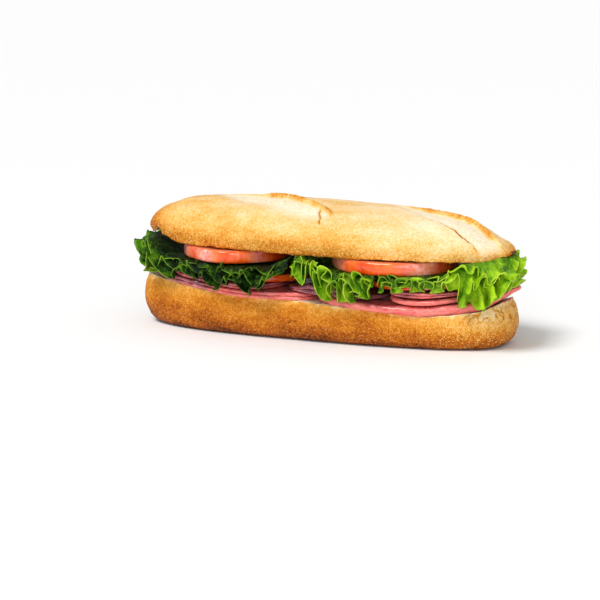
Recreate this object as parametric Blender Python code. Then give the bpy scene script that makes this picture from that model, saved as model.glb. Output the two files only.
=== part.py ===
"""A deli sandwich on a long crusty roll.

The heel, six slices of folded ham, four slices of tomato, three ruffled lettuce leaves and the scored crown.
X runs along the roll, -Y is the shown side, +Z is up, and the origin is the middle of the flat base.
The sizes below are in millimetres, and the mesh builders scale them to metres.
"""

import math

import bmesh
import bpy
import numpy as np

MM = 0.001
WELD = 0.001

# The two halves of the roll
HEEL_HALF_LENGTH = 115.0
HEEL_HALF_WIDTH = 36.5
HEEL_SQUARENESS = 2.6
# From the base up: how far in from the widest outline, and the share of the cut face's height
HEEL_SIDE = ((8.5, 0.0), (4.4, 0.055), (1.7, 0.19), (0.0, 0.5), (0.8, 0.8), (2.2, 1.0))
HEEL_END_INSET = 0.5
HEEL_LUMPS = {"height": 1.4, "size": 46.0, "seed": 5.0}
HEEL_DISH = 1.2
HEEL_FACE_RINGS = (0.86, 0.6, 0.3)
HEEL_CUT = (
    (-116, 30.5),
    (-90, 28.2),
    (-68, 26.0),
    (-42, 23.6),
    (-8, 24.2),
    (11, 23.3),
    (48, 20.7),
    (66, 19.6),
    (84, 21.4),
    (99, 23.4),
    (116, 29.5),
)
CROWN_HALF_LENGTH = 113.5
CROWN_HALF_WIDTH = 37.0
CROWN_CUT_HEIGHT = 51.0
CROWN_CUT_ENDS = ((-113.5, 6.0), (-104, 4.6), (-96, 2.6), (-84, 0.3), (-70, 0.0), (99, 0.0), (113.5, 3.6))
CROWN_CUT_LUMPS = {"height": 0.35, "size": 38.0, "seed": 2.0}
CROWN_RISE = (
    (-113.5, 3.0),
    (-108, 9.4),
    (-100, 16.0),
    (-85, 23.5),
    (-60, 25.0),
    (-25, 26.6),
    (5, 25.6),
    (30, 25.0),
    (55, 23.5),
    (78, 21.3),
    (90, 17.5),
    (100, 12.0),
    (108, 7.0),
    (113.5, 2.6),
)
CROWN_EDGE_INSET = 2.0
CROWN_EDGE_HEIGHT = 9.0
CROWN_SQUARENESS = 3.0
CROWN_SECTION_SQUARENESS = 2.35
CROWN_WIDTH_LUMPS = {"height": 0.6, "size": 60.0, "seed": 3.0}
CROWN_TOP_LUMPS = {"height": 0.6, "size": 44.0, "seed": 7.0}
CROWN_LEFT_TIP_RISE = 1.5
CROWN_RIGHT_TIP_RISE = 1.0

# The scores in the crown: where each starts and ends in plan, its half-width, and the depth of its floor and
# the height of its raised ear
SCORES = (
    {"start": (-74.0, 7.0), "end": (10.0, -25.0), "half_width": 11.0, "floor": 1.3, "ear": 2.6},
    {"start": (33.0, 8.0), "end": (111.0, -15.0), "half_width": 9.5, "floor": 1.4, "ear": 2.4},
)
SCORE_WALL_WIDTH = 4.0
SCORE_FADE_HEIGHT = 12.0
EAR_WIDTH = 5.0
EAR_FRONT_WIDTH = 1.5

# Tomato slices: centre and radii in plan, the height of the underside at the centre, its rise per unit of X,
# and the thickness
TOMATOES = {
    "tomato_lower_left": {
        "centre": (-44.0, -1.0),
        "radii": (33.0, 33.5),
        "bottom": 33.3,
        "slope": -0.055,
        "thick": 4.0,
    },
    "tomato_lower_right": {
        "centre": (59.0, -1.0),
        "radii": (33.0, 31.5),
        "bottom": 34.5,
        "slope": 0.045,
        "thick": 3.2,
    },
    "tomato_upper_left": {
        "centre": (-55.5, -5.5),
        "radii": (31.5, 32.0),
        "bottom": 42.8,
        "slope": 0.0,
        "thick": 7.4,
    },
    "tomato_upper_right": {
        "centre": (41.5, -3.0),
        "radii": (37.5, 35.0),
        "bottom": 42.6,
        "slope": 0.0,
        "thick": 7.5,
    },
}
TOMATO_LOBES = 5
TOMATO_LOBE_DEPTH = 0.5
TOMATO_RIM = 0.3

# The edge of a slice: the share of its rim by which it is rounded off, and the share of its thickness
SLICE_EDGE = ((1.0, 0.0), (0.29, 0.145), (0.0, 0.5), (0.29, 0.855), (1.0, 1.0))
SLICE_INNER_RING = 0.55

# Ham slices: centre and half-sizes in plan, how square the left and right ends are, then along X the lift above
# the heel's cut face and the thickness
HAMS = {
    "ham_lower_left": {
        "centre": (-53.0, -0.5),
        "half": (55.5, 36.8),
        "squareness": (4.0, 7.0),
        "lift": ((-108, 1.0), (2, 1.0)),
        "thick": ((-108, 3.0), (2, 3.2)),
    },
    "ham_lower_right": {
        "centre": (60.5, -0.5),
        "half": (57.5, 37.2),
        "squareness": (7.0, 3.5),
        "lift": ((3, 1.4), (100, 1.4), (109, 2.4), (118, 4.8)),
        "thick": ((3, 2.8), (46, 2.9), (60, 4.2), (90, 4.2), (118, 2.8)),
    },
    "ham_middle": {
        "centre": (11.5, -0.5),
        "half": (32.5, 38.0),
        "squareness": (2.6, 2.6),
        "lift": ((-21, 5.0), (20, 5.0), (44, 5.8)),
        "thick": ((-21, 2.0), (-9, 2.2), (3, 5.6), (14, 6.0), (27, 3.6), (44, 1.6)),
    },
    "ham_upper_left": {
        "centre": (-60.0, -0.8),
        "half": (37.5, 37.0),
        "squareness": (3.0, 4.0),
        "lift": ((-97.5, 4.9), (-22.5, 4.9)),
        "thick": ((-97.5, 3.0), (-22.5, 2.6)),
    },
    "ham_upper_right": {
        "centre": (69.0, -0.5),
        "half": (23.5, 38.0),
        "squareness": (4.0, 3.5),
        "lift": ((45.5, 6.5), (92.5, 6.5)),
        "thick": ((45.5, 2.8), (92.5, 3.0)),
    },
    "ham_top_right": {
        "centre": (68.0, -0.8),
        "half": (23.0, 35.5),
        "squareness": (4.0, 3.5),
        "lift": ((45, 10.4), (91, 10.4)),
        "thick": ((45, 2.2), (66, 3.4), (91, 2.0)),
    },
}
HAM_WAVES = 9
HAM_WAVE_DEPTH = 0.8
HAM_RIM = 0.5
HAM_TIP_SHARE = 0.25

# Lettuce leaves. Each lies flat between the layers out to an oval edge and goes on as a frill beyond it.
# "level" is the height of the flat part along X. The others go round the edge from the shown side, by the share
# of its run: the frill's length, the angle by which it turns down, and the swing of that angle as it ruffles.
LEAF_THICKNESS = 0.9
LEAF_EDGE_HALF_LENGTH = 108.5
LEAF_EDGE_HALF_WIDTH = 36.6
LEAF_EDGE_SQUARENESS = 2.8
LEAF_SPINE_HALF_LENGTH = 84.0
LEAF_TURN_SHARE = 0.5
LEAF_BOW = 1.3
LEAF_LOBE = 0.2
LEAF_CALM = 6.0
LEAF_DRIFT = 0.9
LEAF_DRIFT_LENGTH = 21.0
LEAVES = {
    "lettuce_left": {
        "inner": -11.0,
        "level": (
            (-122, 50.0),
            (-110, 49.6),
            (-103, 48.2),
            (-96, 44.6),
            (-89, 40.9),
            (-60, 39.9),
            (-26, 39.5),
            (-18, 44.0),
            (-11, 46.5),
        ),
        "frill": (
            (0.0, 14.0),
            (0.06, 19.0),
            (0.16, 15.5),
            (0.24, 11.5),
            (0.3, 10.0),
            (0.34, 12.0),
            (0.38, 19.0),
            (0.45, 14.0),
            (0.5, 12.0),
            (1.0, 14.0),
        ),
        "droop": ((0.0, 78.0), (0.06, 58.0), (0.32, 60.0), (0.38, 76.0), (0.46, 66.0), (0.64, 60.0), (1.0, 70.0)),
        "swing": ((0.0, 26.0), (0.06, 46.0), (0.32, 44.0), (0.38, 26.0), (0.5, 36.0), (0.64, 46.0), (1.0, 30.0)),
        "wave": 15.0,
        "phase": 0.4,
    },
    "lettuce_middle": {
        "inner": -8.5,
        "outer": 42.0,
        "level": ((-8.5, 48.4), (-2, 48.4), (3, 41.5), (20, 40.4), (42, 40.4)),
        "frill": ((0.0, 21.0), (0.06, 17.0), (0.1, 10.0), (0.2, 17.0), (0.35, 16.0), (0.5, 12.0), (1.0, 18.0)),
        "droop": ((0.0, 80.0), (0.06, 50.0), (0.1, -30.0), (0.16, 20.0), (0.24, 66.0), (0.5, 60.0), (1.0, 74.0)),
        "swing": ((0.0, 20.0), (0.1, 14.0), (0.24, 38.0), (0.5, 44.0), (0.9, 40.0), (1.0, 24.0)),
        "wave": 14.0,
        "phase": 3.4,
    },
    "lettuce_right": {
        "inner": 45.0,
        "level": ((45, 40.4), (79, 40.6), (85, 44.6), (92, 48.6), (104, 50.2), (112, 51.4)),
        "frill": ((0.0, 9.0), (0.22, 9.5), (0.3, 23.0), (0.39, 24.0), (0.46, 12.0), (0.6, 13.0), (1.0, 12.0)),
        "droop": ((0.0, 56.0), (0.24, 58.0), (0.3, 78.0), (0.39, 80.0), (0.48, 60.0), (0.62, 60.0), (1.0, 58.0)),
        "swing": ((0.0, 46.0), (0.24, 46.0), (0.34, 24.0), (0.44, 26.0), (0.52, 36.0), (0.62, 46.0), (1.0, 46.0)),
        "wave": 14.5,
        "phase": 1.0,
    },
}

# How finely each kind of piece is cut into faces
SHARP_ANGLE = 50.0
HEEL_POINTS = 72
CROWN_SECTIONS = 46
CROWN_DOME_POINTS = 23
CROWN_CUT_POINTS = 7
TOMATO_POINTS = 28
HAM_POINTS = 30
LEAF_RIM_STEP = 2.9
LEAF_FLAT_ROWS = 2
LEAF_FRILL_ROWS = 4
LEAF_TURN_STEPS = 6

COLOURS = {
    "crust": (0.62, 0.33, 0.10, 1.0),
    "tomato": (0.72, 0.09, 0.03, 1.0),
    "ham": (0.66, 0.24, 0.22, 1.0),
    "lettuce": (0.13, 0.33, 0.03, 1.0),
}
ROUGHNESS = {"crust": 0.7, "tomato": 0.25, "ham": 0.4, "lettuce": 0.45}


def clear_scene():
    """Removes the objects that the file opens with."""
    for obj in list(bpy.data.objects):
        bpy.data.objects.remove(obj)


def material(kind):
    """The one material of a kind of food."""
    found = bpy.data.materials.get(kind)
    if found:
        return found
    made = bpy.data.materials.new(kind)
    made.use_nodes = True
    shader = made.node_tree.nodes["Principled BSDF"]
    shader.inputs["Base Color"].default_value = COLOURS[kind]
    shader.inputs["Roughness"].default_value = ROUGHNESS[kind]
    shader.inputs["Metallic"].default_value = 0.0
    return made


def along(stations, at):
    """Reads a smooth curve through (position, value) stations, which never goes past them."""
    places, values = np.array(stations, float).T
    at = np.clip(at, places[0], places[-1])
    before, after = (np.diff(values) / np.diff(places))[:-1], (np.diff(values) / np.diff(places))[1:]
    both = np.where(before * after > 0, before + after, 1.0)
    slopes = np.pad(np.where(before * after > 0, 2 * before * after / both, 0.0), 1)
    i = np.clip(np.searchsorted(places, at) - 1, 0, len(places) - 2)
    width = places[i + 1] - places[i]
    t = (at - places[i]) / width
    return (
        values[i] * (1 + 2 * t) * (1 - t) ** 2
        + values[i + 1] * t * t * (3 - 2 * t)
        + width * slopes[i] * t * (1 - t) ** 2
        - width * slopes[i + 1] * t * t * (1 - t)
    )


def ease(t):
    """Goes smoothly from 0 at t = 0 to 1 at t = 1."""
    t = np.clip(t, 0.0, 1.0)
    return t * t * (3 - 2 * t)


def lumps(x, y, height, size, seed):
    """Soft unevenness of about the given height either way, whose lumps are about the given size."""
    total = 0.0
    for k in range(4):
        turn = seed * 1.7 + k * 2.4
        pace = 2 * math.pi / (size * (1 + 0.27 * k))
        total = total + np.sin(pace * (x * math.cos(turn) + y * math.sin(turn)) + seed * (k + 1.3))
    return height * total / 2.4


def oval(half_x, half_y, squareness, count):
    """Evenly spaced points round an oval in plan, whose left and right ends are each as square as given."""
    angle = np.linspace(0, 2 * math.pi, 1441)
    power = 2 / np.where(np.cos(angle) < 0, squareness[0], squareness[1])
    x = half_x * np.sign(np.cos(angle)) * np.abs(np.cos(angle)) ** power
    y = half_y * np.sign(np.sin(angle)) * np.abs(np.sin(angle)) ** power
    run = np.concatenate([[0], np.cumsum(np.hypot(np.diff(x), np.diff(y)))])
    want = np.linspace(0, run[-1], count, endpoint=False)
    return np.interp(want, run, x), np.interp(want, run, y)


def finish(name, kind, bm):
    """Turns a bmesh in millimetres into a named object in metres."""
    bmesh.ops.scale(bm, vec=(MM, MM, MM), verts=bm.verts)
    bmesh.ops.recalc_face_normals(bm, faces=bm.faces)
    mesh = bpy.data.meshes.new(name)
    bm.to_mesh(mesh)
    bm.free()
    mesh.materials.append(material(kind))
    mesh.shade_smooth()
    mesh.set_sharp_from_angle(angle=math.radians(SHARP_ANGLE))
    obj = bpy.data.objects.new(name, mesh)
    bpy.context.scene.collection.objects.link(obj)
    return obj


def skin(name, kind, rings, first_tip, last_tip):
    """A closed solid over a run of rings of equally many points, shut by a tip point at each end."""
    bm = bmesh.new()
    loops = [[bm.verts.new(tuple(p)) for p in ring] for ring in rings]
    count = len(loops[0])
    for one, two in zip(loops, loops[1:]):
        for i in range(count):
            j = (i + 1) % count
            bm.faces.new((one[i], one[j], two[j], two[i]))
    for tip, loop in ((first_tip, loops[0]), (last_tip, loops[-1])):
        top = bm.verts.new(tuple(tip))
        for i in range(count):
            bm.faces.new((top, loop[i], loop[(i + 1) % count]))
    return finish(name, kind, bm)


def heel_cut(x, y):
    """Height of the heel's cut face, which is a little lower along the middle."""
    dish = HEEL_DISH * (1 - ease(np.abs(y) / HEEL_HALF_WIDTH))
    return along(HEEL_CUT, x) - dish


def crown_cut(x, y):
    """Height of the crown's cut face, which turns up at both ends."""
    return CROWN_CUT_HEIGHT + along(CROWN_CUT_ENDS, x) + lumps(x, y, **CROWN_CUT_LUMPS)


def build_heel():
    """The lower half of the roll: a flat base, bulging crust sides and the cut face."""
    x, y = oval(HEEL_HALF_LENGTH, HEEL_HALF_WIDTH, (HEEL_SQUARENESS, HEEL_SQUARENESS), HEEL_POINTS)
    edge = np.hypot(x / HEEL_HALF_LENGTH, y / HEEL_HALF_WIDTH)
    away_x = x / HEEL_HALF_LENGTH / edge
    away_y = y / HEEL_HALF_WIDTH / edge
    uneven = lumps(x, y, **HEEL_LUMPS)
    rings = []
    for inset, share in HEEL_SIDE:
        px = x - away_x * (inset * (1 + HEEL_END_INSET * away_x**2) - uneven * share)
        py = y - away_y * (inset - uneven * share)
        rings.append(np.stack([px, py, heel_cut(px, py) * share], axis=1))
    edge_x, edge_y = rings[-1][:, 0], rings[-1][:, 1]
    for scale in HEEL_FACE_RINGS:
        px, py = edge_x * scale, edge_y * scale
        rings.append(np.stack([px, py, heel_cut(px, py)], axis=1))
    return skin("heel", "crust", rings, (0, 0, 0), (0, 0, float(heel_cut(0.0, 0.0))))


def score_relief(x, y):
    """Height that the two scores add to the crown: a sunken floor and a raised ear along the back edge."""
    total = 0.0
    for score in SCORES:
        start, end = np.array(score["start"]), np.array(score["end"])
        length = np.linalg.norm(end - start)
        run = (end - start) / length
        share = ((x - start[0]) * run[0] + (y - start[1]) * run[1]) / length
        across = (y - start[1]) * run[0] - (x - start[0]) * run[1]
        opening = np.sqrt(np.clip(4 * share * (1 - share), 0, 1))
        half = score["half_width"] * opening + 0.01
        inside = ease((half - np.abs(across)) / SCORE_WALL_WIDTH)
        ear = ease((across - half) / EAR_FRONT_WIDTH + 1) * (1 - ease((across - half) / EAR_WIDTH))
        total = total + opening * (score["ear"] * ear - score["floor"] * inside)
    return total


def build_crown():
    """The upper half of the roll: sections along X from tip to tip, each a domed crust over the cut face."""
    turn = np.linspace(-math.pi / 2, math.pi / 2, CROWN_SECTIONS + 2)[1:-1]
    stations = CROWN_HALF_LENGTH * np.sin(turn)
    dome = np.linspace(0, math.pi, CROWN_DOME_POINTS)
    power = 2 / CROWN_SECTION_SQUARENESS
    rings = []
    for x in stations:
        share = abs(x) / CROWN_HALF_LENGTH
        half = CROWN_HALF_WIDTH * (1 - share**CROWN_SQUARENESS) ** 0.5
        half += lumps(x, 0.0, **CROWN_WIDTH_LUMPS) * (1 - share)
        rise = float(along(CROWN_RISE, x))
        y = -half * np.sign(np.cos(dome)) * np.abs(np.cos(dome)) ** power
        z = rise * np.sin(dome) ** power
        y = y * (1 - CROWN_EDGE_INSET / CROWN_HALF_WIDTH * (1 - ease(z / CROWN_EDGE_HEIGHT)))
        z = z + score_relief(x, y) * ease(z / SCORE_FADE_HEIGHT)
        z = z + lumps(x, y, **CROWN_TOP_LUMPS) * np.sin(dome)
        edge = abs(y[0])
        under = np.linspace(edge, -edge, CROWN_CUT_POINTS + 2)[1:-1]
        y = np.concatenate([y, under])
        z = np.concatenate([z, np.zeros(CROWN_CUT_POINTS)]) + crown_cut(x, y)
        rings.append(np.stack([np.full_like(y, x), y, z], axis=1))
    left = float(crown_cut(-CROWN_HALF_LENGTH, 0.0)) + CROWN_LEFT_TIP_RISE
    right = float(crown_cut(CROWN_HALF_LENGTH, 0.0)) + CROWN_RIGHT_TIP_RISE
    return skin("crown", "crust", rings, (-CROWN_HALF_LENGTH, 0, left), (CROWN_HALF_LENGTH, 0, right))


def slab(name, kind, outline, centre, rim, under, thick):
    """A slice with a rounded edge: rings from the middle of its underside round to the middle of its top."""
    side = [(1 - rim * cut, share) for cut, share in SLICE_EDGE]
    rings = []
    for scale, share in [(SLICE_INNER_RING, 0.0), *side, (SLICE_INNER_RING, 1.0)]:
        x, y = centre[0] + outline[0] * scale, centre[1] + outline[1] * scale
        rings.append(np.stack([x, y, under(x, y) + thick(x) * share], axis=1))
    x, y = centre
    low = float(under(x, y))
    return skin(name, kind, rings, (x, y, low), (x, y, low + float(thick(x))))


def build_tomato(name):
    """A round slice of tomato, slightly lobed."""
    tomato = TOMATOES[name]
    x, y = oval(*tomato["radii"], (2.0, 2.0), TOMATO_POINTS)
    lobes = np.cos(TOMATO_LOBES * np.arctan2(y, x) + tomato["centre"][0])
    lobed = 1 + TOMATO_LOBE_DEPTH / tomato["radii"][0] * lobes
    rim = TOMATO_RIM * tomato["thick"] / tomato["radii"][0]
    return slab(
        name,
        "tomato",
        (x * lobed, y * lobed),
        tomato["centre"],
        rim,
        lambda px, py: tomato["bottom"] + tomato["slope"] * (px - tomato["centre"][0]),
        lambda px: 0 * px + tomato["thick"],
    )


def build_ham(name):
    """A limp slice of ham, uneven in outline and narrowing as the roll does, laid over the heel's cut face."""
    ham = HAMS[name]
    x, y = oval(*ham["half"], ham["squareness"], HAM_POINTS)
    angle = np.arctan2(y / ham["half"][1], x / ham["half"][0])
    wave = np.sin(HAM_WAVES * angle + ham["centre"][0]) + 0.6 * np.sin((HAM_WAVES + 4) * angle)
    shrink = 1 - HAM_WAVE_DEPTH / ham["half"][1] * (1 + wave) / 2
    reach = np.minimum(np.abs((x + ham["centre"][0]) / HEEL_HALF_LENGTH), 1)
    y = y * np.maximum((1 - reach**HEEL_SQUARENESS) ** (1 / HEEL_SQUARENESS), HAM_TIP_SHARE)
    rim = HAM_RIM * ham["thick"][0][1] / ham["half"][1]
    return slab(
        name,
        "ham",
        (x * shrink, y * shrink),
        ham["centre"],
        rim,
        lambda px, py: heel_cut(px, py) + along(ham["lift"], px),
        lambda px: along(ham["thick"], px),
    )


def leaf_strips(leaf):
    """Evenly spaced x, y and run round a leaf's part of the oval edge, from the shown side to the back."""
    if "outer" in leaf:
        x = np.linspace(leaf["inner"], leaf["outer"], 200)
        share = (1 - np.abs(x / LEAF_EDGE_HALF_LENGTH) ** LEAF_EDGE_SQUARENESS) ** (1 / LEAF_EDGE_SQUARENESS)
        sides = [(x, -LEAF_EDGE_HALF_WIDTH * share), (x[::-1], LEAF_EDGE_HALF_WIDTH * share[::-1])]
    else:
        power = 2 / LEAF_EDGE_SQUARENESS
        limit = math.acos((abs(leaf["inner"]) / LEAF_EDGE_HALF_LENGTH) ** (1 / power))
        turn = np.linspace(-limit, limit, 1601)
        x = math.copysign(LEAF_EDGE_HALF_LENGTH, leaf["inner"]) * np.cos(turn) ** power
        sides = [(x, LEAF_EDGE_HALF_WIDTH * np.sign(turn) * np.abs(np.sin(turn)) ** power)]
    strips = []
    begin = 0.0
    for x, y in sides:
        run = begin + np.concatenate([[0], np.cumsum(np.hypot(np.diff(x), np.diff(y)))])
        want = np.linspace(begin, run[-1], int((run[-1] - begin) / LEAF_RIM_STEP) + 1)
        strips.append((np.interp(want, run, x), np.interp(want, run, y), want))
        begin = run[-1]
    return strips


def leaf_row(leaf, x, y, run, way, calm):
    """A line of points of a leaf's middle surface, from its spine to its frill's hem."""
    edge = np.array([x, y])
    half = np.array([LEAF_EDGE_HALF_LENGTH, LEAF_EDGE_HALF_WIDTH])
    out = np.sign(edge) * np.abs(edge / half) ** (LEAF_EDGE_SQUARENESS - 1) / half
    out /= np.linalg.norm(out)
    foot = np.array([np.clip(x, -LEAF_SPINE_HALF_LENGTH, LEAF_SPINE_HALF_LENGTH), 0.0])
    drift = LEAF_DRIFT * math.sin(run / LEAF_DRIFT_LENGTH)
    phase = 2 * math.pi * run / leaf["wave"] + leaf["phase"] + drift
    wave = (math.sin(phase) + 0.2 * math.sin(1.7 * phase + 1.0)) / 1.2
    frill, droop, swing = (float(along(leaf[key], way)) for key in ("frill", "droop", "swing"))
    hang = math.radians(droop + swing * wave)
    frill *= 1 + LEAF_LOBE * wave
    points = [foot + (edge - foot) * i / LEAF_FLAT_ROWS for i in range(LEAF_FLAT_ROWS)]
    heights = [0.0] * LEAF_FLAT_ROWS
    place, height = edge, 0.0
    steps = LEAF_FRILL_ROWS * LEAF_TURN_STEPS
    for i in range(steps + 1):
        share = i / steps
        if i % LEAF_TURN_STEPS == 0:
            bow = -LEAF_BOW * calm * math.sin(2 * phase) * share**2
            points.append(place + np.array([-out[1], out[0]]) * bow)
            heights.append(height)
        turned = hang * ease((share + 0.5 / steps) / LEAF_TURN_SHARE)
        place = place + out * math.cos(turned) * frill / steps
        height -= math.sin(turned) * frill / steps
    return [(px, py, float(along(leaf["level"], px)) + pz) for (px, py), pz in zip(points, heights)]


def build_leaf(name):
    """A lettuce leaf that runs through the sandwich: a ruffled sheet given its thickness by Solidify."""
    leaf = LEAVES[name]
    strips = leaf_strips(leaf)
    whole = strips[-1][2][-1]
    bm = bmesh.new()
    for x, y, runs in strips:
        grid = []
        for px, py, run in zip(x, y, runs):
            calm = float(ease(min(run - runs[0], runs[-1] - run) / LEAF_CALM))
            row = leaf_row(leaf, px, py, run, run / whole, calm)
            grid.append([bm.verts.new(point) for point in row])
        for one, two in zip(grid, grid[1:]):
            for j in range(len(one) - 1):
                bm.faces.new((one[j], one[j + 1], two[j + 1]))
                if (one[j].co - two[j].co).length > WELD:
                    bm.faces.new((one[j], two[j + 1], two[j]))
    bmesh.ops.remove_doubles(bm, verts=bm.verts, dist=WELD)
    obj = finish(name, "lettuce", bm)
    solidify = obj.modifiers.new("thickness", "SOLIDIFY")
    solidify.thickness = LEAF_THICKNESS * MM
    solidify.offset = 0.0
    return obj


def build_sandwich():
    """Every piece of the sandwich, from the heel up."""
    clear_scene()
    build_heel()
    for name in HAMS:
        build_ham(name)
    for name in TOMATOES:
        build_tomato(name)
    for name in LEAVES:
        build_leaf(name)
    build_crown()


build_sandwich()
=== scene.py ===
"""Dresses the deli sandwich: crusty bread, folded ham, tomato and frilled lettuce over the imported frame.

Shapes are worked out in millimetres in the frame's axes and written to the meshes in metres.
"""

import math

import bmesh
import bpy
import numpy as np
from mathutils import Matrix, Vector


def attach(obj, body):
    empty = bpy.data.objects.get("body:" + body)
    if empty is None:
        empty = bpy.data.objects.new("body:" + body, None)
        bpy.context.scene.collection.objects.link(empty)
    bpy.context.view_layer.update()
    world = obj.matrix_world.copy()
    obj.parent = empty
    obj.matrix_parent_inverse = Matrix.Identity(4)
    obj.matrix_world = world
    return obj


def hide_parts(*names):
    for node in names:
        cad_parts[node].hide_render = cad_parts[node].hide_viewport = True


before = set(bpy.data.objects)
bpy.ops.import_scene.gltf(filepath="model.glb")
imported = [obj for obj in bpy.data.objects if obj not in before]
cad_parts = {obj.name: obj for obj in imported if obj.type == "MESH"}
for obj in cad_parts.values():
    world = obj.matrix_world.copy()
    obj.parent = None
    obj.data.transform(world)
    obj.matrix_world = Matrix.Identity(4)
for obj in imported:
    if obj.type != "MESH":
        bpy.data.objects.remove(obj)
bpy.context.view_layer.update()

MM = 0.001

# The camera in degrees and metres, the size of a pixel of the square frame and the pixel of the origin
CAMERA_AZIMUTH = 22.5
CAMERA_ELEVATION = 11.3
CAMERA_DISTANCE = 2.0
METRES_PER_PIXEL = 0.000585
FRAME_PIXELS = 600
ORIGIN_PIXEL = (329.8, 331.0)
SENSOR = 36.0

# The studio, in metres
FLOOR_HALF_WIDTH = 8.0
LIGHT_TARGET = (0, 0, 0.04)

# Materials: the range where noise mostly lies, and how far the scattering radii are scaled
NOISE_RANGE = (0.3, 0.7)
SUBSURFACE_SCALE = 0.5

# The lower half of the roll. The side is given by the share of its height and how far it lies inside the
# edge, the cut face by x and height, and the browning by the share of the height, where 1 is dark brown;
# it darkens towards the bottom, partly real browning and partly painted shade low on the side.
# A spot has a middle and a width for each axis along which it ends.
HEEL_HALF_LENGTH = 115.0
HEEL_HALF_WIDTH = 36.5
HEEL_SQUARENESS = 2.6
HEEL_SIDE = ((0, 8.5), (0.055, 4.4), (0.19, 1.7), (0.5, 0), (0.8, 0.8), (1, 2.2))
HEEL_END_INSET = 0.5
HEEL_DISH = 1.2
HEEL_CUT = (
    (-116, 30.5), (-90, 28.2), (-68, 26), (-42, 23.6), (-8, 24.2), (11, 23.3), (48, 20.7), (66, 19.6),
    (84, 21.4), (99, 23.4), (116, 29.5),
)
HEEL_BASE_SCALES = (0.2, 0.5, 0.8, 0.93)
HEEL_CUT_SCALES = (0.995, 0.985, 0.97, 0.95, 0.9, 0.8, 0.6, 0.4, 0.2)
# Darkest at the bottom: partly real browning, partly painted shade where little light reaches the low side
HEEL_BAKE_AND_SHADE = ((0, 1.08), (0.07, 0.96), (0.2, 0.85), (0.45, 0.75), (0.75, 0.66), (1, 0.56))
HEEL_BASE_BAKE = 0.9
HEEL_CUT_BAKE = 0.3
HEEL_BURNT_SPOT = {0: (-112, 3), 1: (-12, 2.5), 2: (13, 1.6)}
HEEL_PALE_PATCH = {0: (106, 8), 2: (20.5, 4)}

# The upper half of the roll. The rise of the crust and of the cut face are given by x and height, and the
# browning by the height in edge heights: darker at the hem and palest on top, partly real browning and
# partly painted shade low down and painted light on top.
CROWN_HALF_LENGTH = 113.5
CROWN_HALF_WIDTH = 37.0
CROWN_CUT_HEIGHT = 51.0
CROWN_CUT_ENDS = ((-113.5, 6), (-104, 4.6), (-96, 2.6), (-84, 0.3), (-70, 0), (99, 0), (113.5, 3.2))
CROWN_RISE = (
    (-113.5, 3), (-108, 9.4), (-100, 16), (-85, 23.5), (-60, 25), (-25, 26.6), (5, 25.6), (30, 25),
    (55, 23.5), (78, 21.3), (90, 17.5), (100, 12), (108, 6.6), (113.5, 1),
)
CROWN_EDGE_INSET = 2.0
CROWN_EDGE_HEIGHT = 9.0
CROWN_SQUARENESS = 3.0
CROWN_SECTION_SQUARENESS = 2.35
CROWN_BAKE_AND_SHADE = ((0, 0.68), (0.3, 0.6), (1, 0.48), (1.8, 0.36), (3, 0.29))
CROWN_BURNT_TIP = {0: (113.5, 1.225), 2: (54.8, 1.225)}
CROWN_NOTCH = {0: (-101, 2.2)}
CROWN_FLAP = {0: (-106.5, 2.2)}

# The scores: their ends in plan, half-width, how far the widest place leans to the end, the depth of the
# floor, the height of the ear and the share of the length where it rises, how softly the front edge fades
# and how far the floor spills over it, the depth of the crack there, and the depth of a tear across the
# floor and how far along it lies
SCORES = (
    {
        "start": (-74, 7), "end": (10, -25),
        "half": 11, "skew": 1, "floor": 1.3,
        "ear": 2.3, "lip": 0.24,
        "fade": 12, "spill": 4, "shaded_crack": 0,
        "tear": 1.1, "tear_at": 82,
    },
    {
        "start": (33, 8), "end": (111, -15),
        "half": 10, "skew": 1.8, "floor": 1.4,
        "ear": 2.5, "lip": 0.05,
        "fade": 1.6, "spill": 0, "shaded_crack": 1.2,
        "tear": 0, "tear_at": 0,
    },
)
EAR_WIDTH = 4.4

# The tomato slices: the height of the underside, its slope along x and where painted highlights make the skin
# paler, as bearings in degrees round the slice from +X and widths
TOMATOES = {
    "tomato_lower_left": {
        "centre": (-44, -1), "radii": (33, 33.5),
        "bottom": 33.3, "slope": -0.055, "thick": 4, "pale": (),
    },
    "tomato_lower_right": {
        "centre": (59, -1), "radii": (33, 31.5),
        "bottom": 34.5, "slope": 0.045, "thick": 3.2, "pale": ((-60, 10),),
    },
    "tomato_upper_left": {
        "centre": (-55.5, -5.5), "radii": (31.5, 32),
        "bottom": 42.8, "slope": 0, "thick": 7.4, "pale": ((-106, 11), (-150, 20), (-45, 7)),
    },
    "tomato_upper_right": {
        "centre": (41.5, -3), "radii": (37.5, 35),
        "bottom": 42.6, "slope": 0, "thick": 7.5, "pale": ((-43, 14), (-138, 14)),
    },
}
TOMATO_LOBES = 5
TOMATO_LOBE_HEIGHT = 0.5
TOMATO_CORNER = 0.224
TOMATO_POCKET_DEPTH = 0.5
TOMATO_FACE_SCALES = (0.15, 0.3, 0.45, 0.6, 0.7, 0.8, 0.88, 0.94)
TOMATO_EDGE_ROWS = 25

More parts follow.
